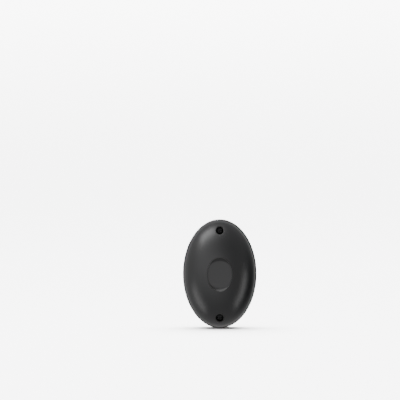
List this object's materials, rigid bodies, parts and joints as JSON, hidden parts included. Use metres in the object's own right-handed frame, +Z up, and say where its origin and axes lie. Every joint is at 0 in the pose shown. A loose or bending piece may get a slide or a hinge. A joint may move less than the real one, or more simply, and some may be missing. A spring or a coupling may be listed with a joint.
{
  "type": "gate photocell receiver",
  "caption": "Oval domed wall-mounted gate photocell with a screwed lift-off cover, sealed base, lens, relay board and screw terminals.",
  "frame": {"origin": "centre of the back face of the base, on the wall", "axes": "+Y out of the back, into the wall; -Y the way the dome and the beam face; +Z up, along the length of the oval; +X to the right, seen from the front"},
  "size_m": [0.059, 0.038, 0.087],
  "materials": {
    "shell": "satin",
    "rubber": "matte",
    "black_screw": "satin",
    "board": "gloss",
    "steel": "satin",
    "holder": "matte",
    "lens": "clear",
    "dark_resin": "matte",
    "relay_case": "satin",
    "terminal_case": "satin",
    "tin": "bright",
    "gold": "bright",
    "red_resin": "clear",
    "sleeve": "gloss",
    "resistor": "satin"
  },
  "bodies": {
    "base": {"base": "shell", "cover_seal": "rubber", "cable_grommet": "rubber", "circuit_board": "board", "board_screws": "steel", "lens_holder": "holder", "lens": "lens", "photodiode": "dark_resin", "relay": "relay_case", "terminal_block": "terminal_case", "terminal_contacts": "tin", "pin_header": "holder", "header_pins": "gold", "status_led": "red_resin", "smoothing_capacitor": "sleeve", "small_capacitor": "sleeve", "bridge_rectifier": "dark_resin", "control_chip": "dark_resin", "voltage_regulator": "dark_resin", "protection_diode": "dark_resin", "resistors": "resistor", "solder_joints": "tin"},
    "cover": {"cover": "shell"},
    "cover_screw_upper": {"cover_screw_upper": "black_screw"},
    "cover_screw_lower": {"cover_screw_lower": "black_screw"},
    "screw_ring_upper": {"screw_ring_upper": "rubber"},
    "screw_ring_lower": {"screw_ring_lower": "rubber"},
    "jumper_cap": {"jumper_cap": "holder"},
    "terminal_screw_1": {"terminal_screw_1": "steel"},
    "terminal_screw_2": {"terminal_screw_2": "steel"},
    "terminal_screw_3": {"terminal_screw_3": "steel"},
    "terminal_screw_4": {"terminal_screw_4": "steel"},
    "wire_clamp_1": {"wire_clamp_1": "tin"},
    "wire_clamp_2": {"wire_clamp_2": "tin"},
    "wire_clamp_3": {"wire_clamp_3": "tin"},
    "wire_clamp_4": {"wire_clamp_4": "tin"}
  },
  "joints": [
    {"name": "cover_slide", "type": "slide", "parent": "base", "child": "cover", "axis": [0, -1, 0], "range_m": [0, 0.05]},
    {"name": "upper_screw_travel", "type": "slide", "parent": "cover", "child": "screw_ring_upper", "axis": [0, -1, 0], "range_m": [0, 0.008]},
    {"name": "upper_screw_turn", "type": "hinge", "parent": "screw_ring_upper", "child": "cover_screw_upper", "pos_m": [0, -0.019, 0.0345], "axis": [0, -1, 0], "range_deg": [0, 2619]},
    {"name": "lower_screw_travel", "type": "slide", "parent": "cover", "child": "screw_ring_lower", "axis": [0, -1, 0], "range_m": [0, 0.008]},
    {"name": "lower_screw_turn", "type": "hinge", "parent": "screw_ring_lower", "child": "cover_screw_lower", "pos_m": [0, -0.019, -0.0345], "axis": [0, -1, 0], "range_deg": [0, 2619]},
    {"name": "terminal_screw_1_turn", "type": "hinge", "parent": "base", "child": "terminal_screw_1", "pos_m": [-0.00612, -0.0187, -0.0137], "axis": [0, 1, 0], "range_deg": [0, 1441]},
    {"name": "wire_clamp_1_lift", "type": "slide", "parent": "base", "child": "wire_clamp_1", "axis": [0, -1, 0], "range_m": [0, 0.0018]},
    {"name": "terminal_screw_2_turn", "type": "hinge", "parent": "base", "child": "terminal_screw_2", "pos_m": [-0.00104, -0.0187, -0.0137], "axis": [0, 1, 0], "range_deg": [0, 1441]},
    {"name": "wire_clamp_2_lift", "type": "slide", "parent": "base", "child": "wire_clamp_2", "axis": [0, -1, 0], "range_m": [0, 0.0018]},
    {"name": "terminal_screw_3_turn", "type": "hinge", "parent": "base", "child": "terminal_screw_3", "pos_m": [0.00404, -0.0187, -0.0137], "axis": [0, 1, 0], "range_deg": [0, 1441]},
    {"name": "wire_clamp_3_lift", "type": "slide", "parent": "base", "child": "wire_clamp_3", "axis": [0, -1, 0], "range_m": [0, 0.0018]},
    {"name": "terminal_screw_4_turn", "type": "hinge", "parent": "base", "child": "terminal_screw_4", "pos_m": [0.00912, -0.0187, -0.0137], "axis": [0, 1, 0], "range_deg": [0, 1441]},
    {"name": "wire_clamp_4_lift", "type": "slide", "parent": "base", "child": "wire_clamp_4", "axis": [0, -1, 0], "range_m": [0, 0.0018]},
    {"name": "jumper_pull", "type": "slide", "parent": "base", "child": "jumper_cap", "axis": [0, -1, 0], "range_m": [0, 0.008]}
  ],
  "couplings": [
    {"joint": "upper_screw_turn", "follows": "upper_screw_travel", "rad_per_m": 5712},
    {"joint": "lower_screw_turn", "follows": "lower_screw_travel", "rad_per_m": 5712},
    {"joint": "terminal_screw_1_turn", "follows": "wire_clamp_1_lift", "rad_per_m": 13963},
    {"joint": "terminal_screw_2_turn", "follows": "wire_clamp_2_lift", "rad_per_m": 13963},
    {"joint": "terminal_screw_3_turn", "follows": "wire_clamp_3_lift", "rad_per_m": 13963},
    {"joint": "terminal_screw_4_turn", "follows": "wire_clamp_4_lift", "rad_per_m": 13963}
  ]
}
